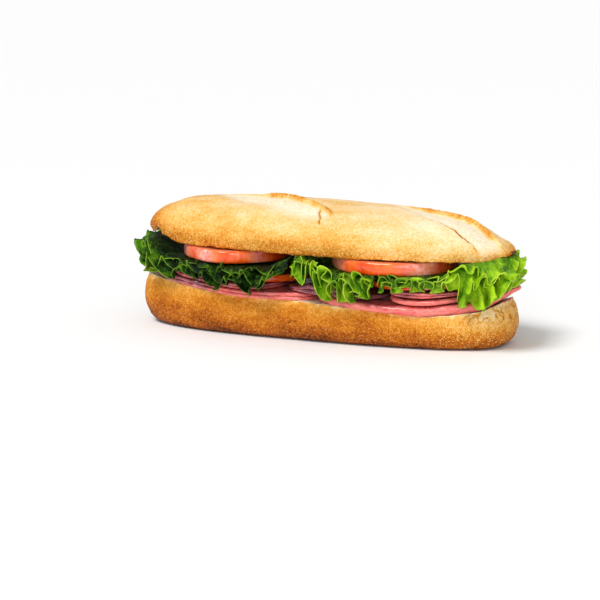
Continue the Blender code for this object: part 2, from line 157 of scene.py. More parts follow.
# The ham slices: how square the left and right ends are, the number of sheets and, as stations by x, the
# lift over the heel's cut face, the thickness of all sheets and how mauve they are
HAMS = {
    "ham_lower_left": {
        "centre": (-53, -0.5), "half": (55.5, 36.8), "squareness": (4, 7), "sheets": 2,
        "lift": ((-108, -0.2), (2, -0.2)),
        "thick": ((-108, 4.2), (2, 4.4)),
        "grey": ((-108, 1), (-66, 0.95), (-54, 0.15), (-14, 0), (2, 0.4)),
    },
    "ham_lower_right": {
        "centre": (60.5, -0.5), "half": (57.5, 37.2), "squareness": (7, 3.5), "sheets": 1,
        "lift": ((3, -0.2), (96, -0.2), (109, 2), (118, 4.8)),
        "thick": ((3, 4.4), (46, 4.5), (60, 5.8), (90, 5.8), (109, 3.6), (118, 2.8)),
        "grey": ((3, 0.5), (30, 0.15), (118, 0)),
    },
    "ham_middle": {
        "centre": (11.5, -0.5), "half": (32.5, 38), "squareness": (2.6, 2.6), "sheets": 2,
        "lift": ((-21, 5), (20, 5), (44, 5.8)),
        "thick": ((-21, 2), (-9, 2.2), (3, 5.6), (14, 6), (27, 3.6), (44, 1.6)),
        "grey": ((-21, 1), (14, 1.3), (44, 1)),
    },
    "ham_upper_left": {
        "centre": (-60, -0.8), "half": (37.5, 37), "squareness": (3, 4), "sheets": 2,
        "lift": ((-97.5, 4.6), (-22.5, 4.6)),
        "thick": ((-97.5, 3.4), (-22.5, 3)),
        "grey": ((-98, 0.5), (-60, 0.8), (-22, 0.6)),
    },
    "ham_upper_right": {
        "centre": (69, -0.5), "half": (23.5, 38), "squareness": (4, 3.5), "sheets": 1,
        "lift": ((45.5, 6.5), (92.5, 6.5)),
        "thick": ((45.5, 2.8), (92.5, 3)),
        "grey": ((45, 0.1), (92, 0)),
    },
    "ham_top_right": {
        "centre": (68, -0.8), "half": (23, 35.5), "squareness": (4, 3.5), "sheets": 2,
        "lift": ((45, 10.4), (91, 10.4)),
        "thick": ((45, 2.2), (66, 3.4), (91, 2)),
        "grey": ((45, 0.5), (91, 0.2)),
    },
}
HAM_TIP_SHARE = 0.25
HAM_FACE_SCALES = (0.3, 0.6, 0.8, 0.9, 0.95)
HAM_EDGE_ROWS = 13

# The lettuce leaves. Inner and outer are where a leaf ends along x, and level and bright are stations by x.
# The others go by the share of the way round the leaf's edge from the shown side: the frill's length, how
# far it droops and swings in degrees, the length of its waves and how ruffled it is. Each leaf has layers
# of frill, one over the other.
LEAF_THICKNESS = 0.4
LEAF_HALF_LENGTH = 108.5
LEAF_HALF_WIDTH = 36.6
LEAF_SQUARENESS = 2.8
LEAF_SPINE_HALF_LENGTH = 84.0
LEAF_TURN_SHARE = 0.4
LEAF_BOW = 2.3
LEAF_LOBE = 0.14
LEAF_ROUND = 1.5
LEAF_CALM = 6.0
LEAF_DRIFT = 0.9
LEAF_DRIFT_LENGTH = 21.0
LEAF_RIPPLE = 6.8
LEAF_RIPPLE_TURN = math.radians(48)
LEAF_CRUMPLE_TURN = math.radians(60)
LEAF_CURL_TURN = math.radians(70)
LEAF_VEIN_STEP = 7.5
LEAVES = {
    "lettuce_left": {
        "inner": -11,
        "level": (
            (-122, 50), (-110, 49.6), (-103, 48.2), (-96, 44.6), (-89, 40.9), (-60, 39.9), (-26, 39.5),
            (-18, 44), (-11, 46.5),
        ),
        "frill": (
            (0, 3.5), (0.03, 9), (0.06, 15.5), (0.1, 15.5), (0.13, 13), (0.18, 14), (0.23, 9.5),
            (0.3, 8), (0.34, 11), (0.38, 19), (0.45, 14), (0.5, 12), (1, 14),
        ),
        "droop": ((0, 78), (0.06, 58), (0.32, 60), (0.38, 74), (0.46, 66), (0.64, 60), (1, 70)),
        "swing": ((0, 26), (0.06, 38), (0.32, 36), (0.38, 36), (0.5, 40), (0.64, 42), (1, 30)),
        "wave": ((0, 23), (0.12, 24), (0.18, 18), (0.28, 14), (0.38, 17), (0.6, 17), (0.7, 18), (1, 20)),
        "ruffle": ((0, 0.5), (0.3, 0.8), (0.36, 0.75), (0.62, 0.75), (0.7, 0.8), (1, 0.7)),
        "phase": 0.9,
        # Low along this leaf's middle: partly its own dark green, partly painted shade
        "bright": ((-122, 0.24), (-104, 0.26), (-92, 0.1), (-60, 0.02), (-11, 0.08)),
    },
    "lettuce_middle": {
        "inner": -7, "outer": 42,
        "level": ((-8.5, 48.4), (-2, 48.4), (3, 41.5), (20, 40.4), (42, 40.4)),
        "frill": ((0, 13), (0.06, 14), (0.12, 12), (0.2, 15), (0.35, 15), (0.5, 12), (1, 16)),
        "droop": ((0, 80), (0.05, 60), (0.12, -35), (0.19, 10), (0.26, 66), (0.5, 60), (1, 74)),
        "swing": ((0, 20), (0.1, 20), (0.24, 34), (0.5, 38), (0.9, 38), (1, 24)),
        "wave": ((0, 13), (0.5, 12), (1, 13)),
        "ruffle": ((0, 1), (0.5, 1.3), (1, 1)),
        "phase": 3.4,
        "bright": ((-9, 0.5), (14, 0.6), (42, 0.45)),
    },
    "lettuce_right": {
        "inner": 45,
        "level": ((45, 40.4), (79, 40.6), (85, 44.6), (92, 48.6), (104, 50.2), (112, 51.4)),
        "frill": (
            (0, 8), (0.1, 7), (0.2, 6.8), (0.24, 9), (0.29, 21), (0.37, 28), (0.46, 21), (0.54, 16),
            (0.64, 12), (1, 12),
        ),
        "droop": ((0, 56), (0.24, 58), (0.3, 74), (0.4, 80), (0.54, 90), (0.64, 84), (1, 58)),
        "swing": ((0, 40), (0.24, 40), (0.32, 18), (0.44, 20), (0.54, 20), (0.64, 28), (1, 42)),
        "wave": ((0, 11), (0.22, 12), (0.3, 30), (0.5, 26), (0.62, 14), (1, 13)),
        "ruffle": ((0, 1.2), (0.22, 1), (0.29, 0.7), (0.4, 0.75), (0.5, 0.9), (1, 1)),
        "phase": 1,
        "bright": ((45, 0.5), (75, 0.55), (90, 0.8), (120, 0.68)),
    },
}
LEAF_LAYERS = (
    {"suffix": "", "phase": 0, "lift": 0, "length": 1, "rise": 0, "seed": 61},
    {"suffix": "_inner", "phase": 2.4, "lift": -14, "length": 0.8, "rise": 1.1, "seed": 71},
    {"suffix": "_crest", "phase": 4.3, "lift": -32, "length": 0.58, "rise": 1.8, "seed": 83},
)

# How finely the pieces are cut
CROWN_COLUMNS = 400
CROWN_ROWS = 180
CROWN_CUT_ROWS = 14
HEEL_COLUMNS = 700
HEEL_ROWS = 46
TOMATO_COLUMNS = 280
HAM_COLUMNS = 360
LEAF_STEP = 0.6
LEAF_FLAT_ROWS = 8
LEAF_FRILL_ROWS = 34


def along(stations, at):
    """Reads a smooth curve through (position, value) stations, which never goes past them."""
    places, values = np.array(stations, float).T
    at = np.clip(at, places[0], places[-1])
    before, after = (np.diff(values) / np.diff(places))[:-1], (np.diff(values) / np.diff(places))[1:]
    both = np.where(before * after > 0, before + after, 1.0)
    slopes = np.pad(np.where(before * after > 0, 2 * before * after / both, 0.0), 1)
    i = np.clip(np.searchsorted(places, at) - 1, 0, len(places) - 2)
    width = places[i + 1] - places[i]
    t = (at - places[i]) / width
    return (
        values[i] * (1 + 2 * t) * (1 - t) ** 2
        + values[i + 1] * t * t * (3 - 2 * t)
        + width * slopes[i] * t * (1 - t) ** 2
        - width * slopes[i + 1] * t * t * (1 - t)
    )


def ease(t):
    """Goes smoothly from 0 at t = 0 to 1 at t = 1."""
    t = np.clip(t, 0.0, 1.0)
    return t * t * (3 - 2 * t)


def bell(*distances):
    """1 where every distance is 0, and almost nothing where any of them is past 2."""
    return np.exp(-sum(distance**2 for distance in distances))


def spot(grid, places):
    """A soft spot on a grid of points, from a (middle, width) for each axis along which it ends."""
    return bell(*[(grid[..., axis] - middle) / width for axis, (middle, width) in places.items()])


def lumps(x, y, height, size, seed):
    """Soft unevenness of about the given height either way, whose lumps are about the given size."""
    total = 0.0
    for k in range(4):
        turn = seed * 1.7 + k * 2.4
        pace = 2 * math.pi / (size * (1 + 0.27 * k))
        total = total + np.sin(pace * (x * math.cos(turn) + y * math.sin(turn)) + seed * (k + 1.3))
    return height * total / 2.4


def noise(points, size, seed, octaves=1):
    """Gradient noise of about -1 to 1 at points in millimetres, with lumps of about the given size."""
    random = np.random.RandomState(seed)
    order = np.tile(random.permutation(256), 2)
    slopes = random.normal(size=(256, 3))
    slopes /= np.linalg.norm(slopes, axis=1)[:, None]
    total = 0.0
    for octave in range(octaves):
        p = points / size * 2**octave + 17.3 * octave
        cell = np.floor(p).astype(int)
        f = p - cell
        u = f * f * f * (f * (f * 6 - 15) + 10)
        for corner in np.ndindex(2, 2, 2):
            at = (cell + corner) & 255
            pick = order[order[order[at[..., 0]] + at[..., 1]] + at[..., 2]]
            weight = np.prod(np.where(np.array(corner) == 1, u, 1 - u), axis=-1)
            total = total + weight * np.sum(slopes[pick] * (f - corner), axis=-1) * 1.5 / 2**octave
    return total


def line_noise(run, size, seed):
    """Noise along a line, off the places where gradient noise is always 0."""
    return noise(np.stack([run, 0 * run + 0.37 * size, 0 * run + 0.71 * size], axis=1), size, seed)


def oval(half_x, half_y, squareness, count):
    """Evenly spaced points round an oval in plan, whose left and right ends are each as square as given."""
    angle = np.linspace(0, 2 * math.pi, 4 * count + 1)
    power = 2 / np.where(np.cos(angle) < 0, squareness[0], squareness[1])
    x = half_x * np.sign(np.cos(angle)) * np.abs(np.cos(angle)) ** power
    y = half_y * np.sign(np.sin(angle)) * np.abs(np.sin(angle)) ** power
    run = np.concatenate([[0], np.cumsum(np.hypot(np.diff(x), np.diff(y)))])
    want = np.linspace(0, run[-1], count, endpoint=False)
    return np.interp(want, run, x), np.interp(want, run, y)


def grid_normals(grid):
    """Outward normals of rings of points, each of which closes on itself."""
    down = np.gradient(grid, axis=0)
    around = np.roll(grid, -1, axis=1) - np.roll(grid, 1, axis=1)
    normal = np.cross(down, around)
    normal /= np.linalg.norm(normal, axis=-1, keepdims=True) + 1e-9
    outward = np.sum(normal * (grid - grid.mean(axis=(0, 1))))
    return normal if outward > 0 else -normal


def grid_quads(rows, columns, wrap):
    """The faces between rows of points, as lists of four indices."""
    i = np.arange(rows - 1)[:, None] * columns
    j = np.arange(columns if wrap else columns - 1)[None, :]
    k = (j + 1) % columns
    return np.stack([i + j, i + k, i + columns + k, i + columns + j], axis=-1).reshape(-1, 4).tolist()


def open_part(grid, marks):
    """A sheet's points, faces and marks, from rows of points."""
    marks = {key: values.ravel() for key, values in marks.items()}
    return grid.reshape(-1, 3), grid_quads(*grid.shape[:2], False), marks


def closed_part(rings, marks):
    """A solid's points, faces and marks, from rings of points shut by a point in the middle of each end."""
    rows, columns = rings.shape[:2]
    points = np.concatenate([rings.reshape(-1, 3), rings[:1].mean(axis=1), rings[-1:].mean(axis=1)])
    faces = grid_quads(rows, columns, True)
    first, last, last_ring = rows * columns, rows * columns + 1, (rows - 1) * columns
    for j in range(columns):
        k = (j + 1) % columns
        faces.append([first, k, j])
        faces.append([last, last_ring + j, last_ring + k])
    marks = {key: np.concatenate([v.ravel(), [v[0].mean(), v[-1].mean()]]) for key, v in marks.items()}
    return points, faces, marks


def place_mesh(name, parts, material, node=None):
    """Makes a piece of one or more parts that rides on the body and may stand for a CAD node."""
    points, faces, marks = [], [], {}
    for part_points, part_faces, part_marks in parts:
        start = sum(len(p) for p in points)
        faces += [[start + i for i in face] for face in part_faces]
        points.append(part_points)
        for key, values in part_marks.items():
            marks.setdefault(key, []).append(values)
    mesh = bpy.data.meshes.new(name)
    mesh.from_pydata((np.concatenate(points) * MM).tolist(), [], faces)
    for key, values in marks.items():
        attribute = mesh.attributes.new(key, "FLOAT", "POINT")
        attribute.data.foreach_set("value", np.concatenate(values).astype(np.float32))
    bm = bmesh.new()
    bm.from_mesh(mesh)
    bmesh.ops.recalc_face_normals(bm, faces=bm.faces)
    bm.to_mesh(mesh)
    bm.free()
    mesh.materials.append(material)
    mesh.shade_smooth()
    piece = bpy.data.objects.new(name, mesh)
    bpy.context.scene.collection.objects.link(piece)
    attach(piece, "root")
    if node:
        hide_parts(node)
    return piece


def colour(red, green, blue):
    """A colour given as the eye's 0 to 255 numbers, in the shader's linear ones."""
    values = [v / 255 for v in (red, green, blue)]
    return (*[v / 12.92 if v <= 0.04045 else ((v + 0.055) / 1.055) ** 2.4 for v in values], 1.0)


class Paint:
    """A node material that is built up by small calls."""

    def __init__(self, name):
        self.material = bpy.data.materials.new(name)
        self.material.use_nodes = True
        self.tree = self.material.node_tree
        self.shader = self.tree.nodes["Principled BSDF"]
        self.place = self.node("ShaderNodeTexCoord").outputs["Object"]

    def node(self, kind, inputs=None, **settings):
        """A node with its settings and its inputs, each a value or another node's output."""
        made = self.tree.nodes.new(kind)
        for key, value in settings.items():
            setattr(made, key, value)
        for key, value in (inputs or {}).items():
            self.feed(made.inputs[key], value)
        return made

    def feed(self, socket, value):
        """Links an output to a socket, or sets its value."""
        if isinstance(value, bpy.types.NodeSocket):
            self.tree.links.new(value, socket)
        else:
            socket.default_value = value

    def mark(self, name):
        """A value written on the mesh's points."""
        return self.node("ShaderNodeAttribute", attribute_name=name).outputs["Fac"]

    def maths(self, operation, a, b=0.0, clamp=False):
        """One sum on one or two values, held between 0 and 1 if clamped."""
        made = self.node("ShaderNodeMath", {0: a, 1: b}, operation=operation, use_clamp=clamp)
        return made.outputs[0]

    def add(self, a, b, clamp=False):
        """The sum of two values."""
        return self.maths("ADD", a, b, clamp)

    def times(self, a, b):
        """The product of two values."""
        return self.maths("MULTIPLY", a, b)

    def noise(self, size, detail=2.0, rough=0.5, place=None, distortion=0.0):
        """Noise whose lumps are about the given size in millimetres."""
        inputs = {
            "Vector": place or self.place,
            "Scale": 1 / (size * MM),
            "Detail": detail,
            "Roughness": rough,
            "Distortion": distortion,
        }
        return self.node("ShaderNodeTexNoise", inputs).outputs["Fac"]

    def cells(self, size, place=None, feature="F1"):
        """Distance from the middles, or the edges, of cells about the given size in millimetres."""
        inputs = {"Vector": place or self.place, "Scale": 1 / (size * MM)}
        return self.node("ShaderNodeTexVoronoi", inputs, feature=feature).outputs["Distance"]

    def stretched(self, scale):
        """The place on the object, scaled by axis."""
        return self.node("ShaderNodeMapping", {"Vector": self.place, "Scale": scale}).outputs[0]

    def between(self, value, low, high, to_low=0.0, to_high=1.0):
        """Maps a value from one range to another smoothly, and holds it there."""
        inputs = {"Value": value, "From Min": low, "From Max": high, "To Min": to_low, "To Max": to_high}
        return self.node("ShaderNodeMapRange", inputs, interpolation_type="SMOOTHSTEP").outputs[0]

    def spread(self, noise, low=0.0, high=1.0):
        """Maps the range where noise mostly lies to another."""
        return self.between(noise, *NOISE_RANGE, low, high)

    def mix(self, share, a, b):
        """From colour a to colour b as the share goes from 0 to 1."""
        made = self.node("ShaderNodeMix", data_type="RGBA", blend_type="MIX")
        self.feed(made.inputs[0], share)
        self.feed(made.inputs[6], a)
        self.feed(made.inputs[7], b)
        return made.outputs[2]

    def ramp(self, share, stops):
        """A run of colours along a value."""
        made = self.node("ShaderNodeValToRGB", {"Fac": share})
        elements = made.color_ramp.elements
        elements[0].position, elements[0].color = stops[0]
        elements[1].position, elements[1].color = stops[-1]
        for position, shade in stops[1:-1]:
            elements.new(position).color = shade
        return made.outputs["Color"]

    def bump(self, height, distance, strength=1.0, before=None):
        """A normal tilted by a height, over an earlier normal if there is one."""
        inputs = {"Height": height, "Distance": distance * MM, "Strength": strength}
        if before:
            inputs["Normal"] = before
        return self.node("ShaderNodeBump", inputs).outputs["Normal"]

    def set(self, **inputs):
        """Sets the shader's inputs, with an underscore for each space in their names."""
        for key, value in inputs.items():
            self.feed(self.shader.inputs[key.replace("_", " ")], value)


def crust_shade(paint, fine, grain, pores):
    """Baked crust, from cream to dark brown by its browning and painted shade, with dark pits and painted
    pale glints.
    """
    broad = paint.noise(9.0, 4.0, 0.6, paint.stretched((0.45, 1.0, 1.0)))
    bake_and_shade = paint.add(paint.mark("bake_and_shade"), paint.spread(broad, -0.07, 0.07))
    rough = paint.add(0.85, paint.times(paint.mark("grain_and_glints"), 0.35))
    bake_and_shade = paint.add(bake_and_shade, paint.times(rough, paint.spread(fine, -0.075, 0.075)))
    bake_and_shade = paint.add(bake_and_shade, paint.times(rough, paint.spread(grain, -0.12, 0.12)), clamp=True)
    stops = (
        (0.0, colour(253, 236, 204)),
        (0.2, colour(247, 216, 166)),
        (0.4, colour(240, 186, 98)),
        (0.6, colour(212, 137, 34)),
        (0.8, colour(174, 88, 5)),
        (1.0, colour(84, 32, 0)),
    )
    shade = paint.ramp(bake_and_shade, stops)
    pits = paint.between(pores, 0.05, 0.28, 0.18, 0.0)
    pits = paint.times(pits, paint.between(paint.noise(5.0), 0.45, 0.65))
    shade = paint.mix(pits, shade, colour(120, 62, 20))
    # Painted highlights: small pale glints of light on the crust's pebbles
    glints = paint.cells(1.5, paint.stretched((1.0, 1.3, 0.9)))
    glints = paint.times(paint.between(glints, 0.1, 0.36, 0.85, 0.0), paint.mark("grain_and_glints"))
    return paint.mix(glints, shade, colour(255, 214, 140))


def crumb_shade(paint, fine):
    """Pale crumb with thin wrinkles."""
    crumb = paint.mix(paint.between(fine, 0.35, 0.7), colour(246, 231, 194), colour(254, 247, 224))
    wrinkles = paint.maths("SUBTRACT", paint.noise(7.0, 4.0, 0.6, distortion=1.2), 0.5)
    wrinkles = paint.between(paint.maths("ABSOLUTE", wrinkles), 0.0, 0.018, 0.5, 0.0)
    return paint.mix(wrinkles, crumb, colour(214, 172, 108))


def crust_material():
    """Bread: baked crust, and pale crumb on the cut faces and in the scores."""
    paint = Paint("crust")
    fine = paint.noise(1.5, 3.0, 0.6)
    grain = paint.noise(0.55, 2.0, 0.6)
    pores = paint.cells(1.1)
    crust, crumb = crust_shade(paint, fine, grain, pores), crumb_shade(paint, fine)
    normal = paint.bump(paint.add(fine, paint.times(grain, 0.5)), 0.32, 0.9)
    normal = paint.bump(paint.between(pores, 0.0, 0.5), 0.12, 0.6, normal)
    paint.set(
        Base_Color=paint.mix(paint.mark("crumb"), crust, crumb),
        Roughness=paint.spread(fine, 0.5, 0.75),
        Normal=normal,
        Specular_IOR_Level=0.15,
        Subsurface_Weight=0.05,
        Subsurface_Radius=(0.004, 0.002, 0.001),
        Subsurface_Scale=SUBSURFACE_SCALE,
    )
    return paint.material


def ham_material():
    """Moist cooked ham: pink with mauve streaks and pale fibres."""
    paint = Paint("ham")
    fibres = paint.noise(3.4, 4.0, 0.6, paint.stretched((0.45, 0.45, 1.3)), 0.6)
    streaks = paint.spread(paint.noise(11.0, 3.0), -0.35, 0.35)
    grey = paint.add(paint.mark("grey"), streaks, clamp=True)
    pink = paint.mix(paint.spread(fibres), colour(224, 86, 84), colour(252, 138, 126))
    mauve = paint.mix(paint.spread(fibres), colour(112, 46, 58), colour(176, 104, 114))
    fat = paint.between(paint.noise(1.8, 4.0, 0.75, distortion=1.0), 0.56, 0.72, 0.0, 0.7)
    normal = paint.bump(fibres, 0.2, 0.5)
    normal = paint.bump(paint.noise(0.7, 2.0), 0.06, 0.5, normal)
    paint.set(
        Base_Color=paint.mix(fat, paint.mix(grey, pink, mauve), colour(254, 200, 176)),
        Roughness=paint.spread(fibres, 0.22, 0.42),
        Normal=normal,
        Subsurface_Weight=0.12,
        Subsurface_Radius=(0.006, 0.002, 0.0015),
        Subsurface_Scale=SUBSURFACE_SCALE,
        Coat_Weight=0.25,
        Coat_Roughness=0.2,
    )
    return paint.material


def tomato_material():
    """Wet tomato: orange-red skin with painted pale highlights round the edge and paler flesh on the cut
    faces.
    """
    paint = Paint("tomato")
    streaks = paint.noise(5.0, 3.0, 0.55, paint.stretched((1.0, 1.0, 0.35)))
    reds = ((0.3, colour(228, 56, 2)), (0.5, colour(250, 92, 14)), (0.7, colour(255, 124, 40)))
    # Painted highlights: pale pink to white patches of sheen on the skin
    pale = paint.mix(paint.spread(paint.noise(2.0, 3.0)), colour(252, 150, 128), colour(255, 216, 206))
    skin = paint.mix(paint.mark("pale"), paint.ramp(streaks, reds), pale)
    mottle = paint.between(paint.noise(3.0, 3.0), 0.35, 0.65)
    flesh = paint.mix(mottle, colour(214, 52, 22), colour(246, 132, 84))
    flesh = paint.mix(paint.mark("wall"), flesh, colour(248, 150, 104))
    paint.set(
        Base_Color=paint.mix(paint.mark("skin"), flesh, skin),
        Roughness=paint.spread(streaks, 0.12, 0.26),
        Normal=paint.bump(paint.noise(1.6, 2.0), 0.08, 0.4),
        Subsurface_Weight=0.15,
        Subsurface_Radius=(0.006, 0.0015, 0.001),
        Subsurface_Scale=SUBSURFACE_SCALE,
        Coat_Weight=0.4,
        Coat_Roughness=0.08,
    )
    return paint.material


def lettuce_material():
    """Crisp leaf: dark to bright green, a net of paler veins and a pale rim along the frill."""
    paint = Paint("lettuce")
    blotch = paint.noise(9.0, 5.0, 0.62)
    bright = paint.add(paint.mark("bright"), paint.spread(blotch, -0.28, 0.26), clamp=True)
    greens = (
        (0.0, colour(5, 20, 2)),
        (0.3, colour(22, 62, 2)),
        (0.6, colour(80, 134, 4)),
        (1.0, colour(164, 208, 22)),
    )
    pale_greens = ((0.0, colour(62, 108, 30)), (0.5, colour(166, 202, 62)), (1.0, colour(214, 232, 96)))
    shade, pale = paint.ramp(bright, greens), paint.ramp(bright, pale_greens)
    squat = paint.stretched((1.0, 1.0, 0.8))
    net = paint.between(paint.cells(3.4, squat, "DISTANCE_TO_EDGE"), 0.0, 0.09, 0.55, 0.0)
    net = paint.times(net, paint.between(paint.noise(6.0), 0.35, 0.6))
    shade = paint.mix(paint.times(net, 0.6), shade, pale)
    shade = paint.mix(paint.mark("vein"), shade, pale)
    shade = paint.mix(paint.mark("rim"), shade, pale)
    normal = paint.bump(paint.cells(3.4, squat), 0.35, 0.7)
    normal = paint.bump(paint.noise(1.1, 3.0), 0.12, 0.6, normal)
    paint.set(
        Base_Color=shade,
        Roughness=paint.spread(blotch, 0.44, 0.58),
        Normal=normal,
        Specular_IOR_Level=0.13,
        Subsurface_Weight=0.1,
        Subsurface_Radius=(0.001, 0.003, 0.0006),
        Subsurface_Scale=SUBSURFACE_SCALE,
    )
    return paint.material


def heel_cut(x, y):
    """Height of the heel's cut face, which is a little lower along the middle."""
    return along(HEEL_CUT, x) - HEEL_DISH * (1 - ease(np.abs(y) / HEEL_HALF_WIDTH))


def crown_cut(x, y):
    """Height of the crown's cut face, which turns up at both ends."""
    return CROWN_CUT_HEIGHT + along(CROWN_CUT_ENDS, x) + lumps(x, y, 0.35, 38.0, 2.0)


def crust_relief(points, seed):
    """Unevenness of a crust: broad swells, blisters and fine pebbling, in millimetres."""
    swell = 0.35 * noise(points, 24.0, seed, 2)
    blister = 0.16 * noise(points, 6.0, seed + 1, 2)
    pebbles = 0.20 * noise(points, 1.9, seed + 2)
    return swell + blister + pebbles


def heel_grid():
    """The heel's rings: out over the base, up the side and in over the cut face, and their browning and
    painted shade.
    """
    x, y = oval(HEEL_HALF_LENGTH, HEEL_HALF_WIDTH, (HEEL_SQUARENESS, HEEL_SQUARENESS), HEEL_COLUMNS)
    edge = np.hypot(x / HEEL_HALF_LENGTH, y / HEEL_HALF_WIDTH)
    away_x, away_y = x / HEEL_HALF_LENGTH / edge, y / HEEL_HALF_WIDTH / edge
    uneven = lumps(x, y, 1.4, 46.0, 5.0)

    def ring(inset, share):
        px = x - away_x * (inset * (1 + HEEL_END_INSET * away_x**2) - uneven * share)
        py = y - away_y * (inset - uneven * share)
        return np.stack([px, py, heel_cut(px, py) * share], axis=1)

    base = ring(HEEL_SIDE[0][1], 0.0)
    rings = [base * (scale, scale, 1) for scale in HEEL_BASE_SCALES]
    bake_and_shade = [HEEL_BASE_BAKE] * len(rings)
    for step in np.linspace(0, 1, HEEL_ROWS):
        share = step**1.25
        rings.append(ring(along(HEEL_SIDE, share), share))
        bake_and_shade.append(along(HEEL_BAKE_AND_SHADE, share))
    top = rings[-1]
    for scale in HEEL_CUT_SCALES:
        px, py = top[:, 0] * scale, top[:, 1] * scale
        rings.append(np.stack([px, py, heel_cut(px, py)], axis=1))
        bake_and_shade.append(HEEL_CUT_BAKE)
    return np.array(rings), np.array(bake_and_shade)[:, None]


def heel_marks(grid, bake_and_shade, cracks):
    """How brown each point is, with painted shade low down, what is crumb and where grain and painted glints
    show.
    """
    first_side = len(HEEL_BASE_SCALES)
    first_cut = first_side + HEEL_ROWS
    share = np.zeros_like(cracks)
    share[first_side:first_cut] = np.linspace(0, 1, HEEL_ROWS)[:, None]
    right = ease((grid[..., 0] - 60) / 40)
    bake_and_shade = bake_and_shade + 0.4 * cracks + 0.4 * spot(grid, HEEL_BURNT_SPOT)
    bake_and_shade = bake_and_shade - 0.1 * right * (1 + ease((share - 0.3) / 0.4)) + 0.04 * noise(grid, 18.0, 12, 2)
    bake_and_shade = bake_and_shade - 0.12 * spot(grid, HEEL_PALE_PATCH) * (grid[..., 1] < 0)
    bake_and_shade = bake_and_shade - 0.2 * ease((share - 0.88) / 0.1) * ease(0.15 + 1.4 * noise(grid, 5.0, 17, 2))
    crumb = np.zeros_like(bake_and_shade)
    crumb[first_cut:] = 1.0
    crumb[first_cut - 1] = 0.5
    crumb *= 1 - 0.8 * cracks
    # Where the grain is coarse and painted glints of light show: low on the side and more at the right end
    grain_and_glints = ease((0.9 - share) / 0.45) * ease((share - 0.02) / 0.1) * (0.3 + 0.7 * right)
    return {"bake_and_shade": bake_and_shade, "crumb": crumb, "grain_and_glints": grain_and_glints}


def build_heel(material):
    """The lower half of the roll: pebbled crust, a ragged rim and hairline cracks at its right end."""
    grid, bake_and_shade = heel_grid()
    x, y, z = np.moveaxis(grid, -1, 0)
    normals = grid_normals(grid)
    relief = crust_relief(grid, 11) * ease(z / 3.0)
    rim = ease((z / np.maximum(heel_cut(x, y), 1) - 0.9) / 0.1)
    cracks = bell(noise(grid, 6.5, 16, 2) / 0.06) * ease((x - 88) / 8) * ease((z - 14) / 6)
    shown = grid + normals * relief[..., None]
    shown[..., 2] += rim * (0.45 * noise(grid, 5.0, 15, 2) - 0.1)
    shown[: len(HEEL_BASE_SCALES), :, 2] = 0.0
    shown[..., 2] = np.maximum(shown[..., 2], 0.0)
    shown -= normals * cracks[..., None]
    part = closed_part(shown, heel_marks(grid, bake_and_shade, cracks))
    place_mesh("heel_crust", [part], material, "heel")


def score_place(score, x, y):
    """Where points lie on a score: along it in millimetres and as a share, across it, and how open it is."""
    start, end = np.array(score["start"]), np.array(score["end"])
    length = np.linalg.norm(end - start)
    run = (end - start) / length
    share = ((x - start[0]) * run[0] + (y - start[1]) * run[1]) / length
    across = (y - start[1]) * run[0] - (x - start[0]) * run[1]
    leant = np.clip(share, 0, 1) ** score["skew"]
    return share * length, share, across, np.sqrt(4 * leant * (1 - leant))


def one_score(score, flat, ragged):
    """A score's relief, and how much of each point is pale floor, brown ear, and cracks painted dark as
    shadow.
    """
    down, share, across, opening = score_place(score, flat[..., 0], flat[..., 1])
    half = score["half"] * opening + 0.01
    edge = half + 0.8 * ragged * opening
    inside = ease((edge + across + score["spill"] * opening) / score["fade"]) * ease((edge - across) / 2.0)
    crest = (1 + 0.2 * ragged) * (0.15 + 0.85 * ease((share - score["lip"]) / 0.2))
    flaky = 1 + 0.12 * noise(flat, 9.0, 33, 3)
    ear = ease((across - half) / 1.1 + 1) * (1 - ease((across - half) / EAR_WIDTH)) * crest * flaky
    shaded_crack = score["shaded_crack"] * bell((across + edge) / 0.8) * ease((ragged + 0.8) / 0.8) * opening
    # A dark line at the foot of the ear: painted shadow under the overhanging ear
    lip_line = bell((across - half + 0.4) / 0.7) * ease((ragged + 0.9) / 0.9) * ease((crest - 0.5) / 0.4)
    shaded_crack = shaded_crack + 0.75 * lip_line * opening
    from_tear = (down + 0.9 * across - score["tear_at"] + 0.9 * ragged) / 0.7
    tear = score["tear"] * bell(from_tear) * ease((across + 6.5) / 2) * ease((7.5 - across) / 2)
    stretch = 0.14 * noise(flat * (1.0, 2.5, 1.0), 6.0, 34, 3) * inside
    relief = opening * (score["ear"] * ear - score["floor"] * inside + stretch) - shaded_crack - tear
    shown = ease(opening * 3) * (share > 0) * (share < 1)
    ear_mark = shown * crest * bell((across - half - 0.8) / 2.6)
    return relief, inside * shown, ear_mark, np.clip(shaded_crack + tear, 0, 1)


def score_relief(x, y):
    """The relief of all the scores, and how much of each point is floor, ear and crack."""
    flat = np.stack([x, y, np.zeros_like(x)], axis=-1)
    ragged = noise(flat, 7.0, 31, 2)
    reliefs, *marks = zip(*[one_score(score, flat, ragged) for score in SCORES])
    return sum(reliefs), *[np.max(mark, axis=0) for mark in marks]


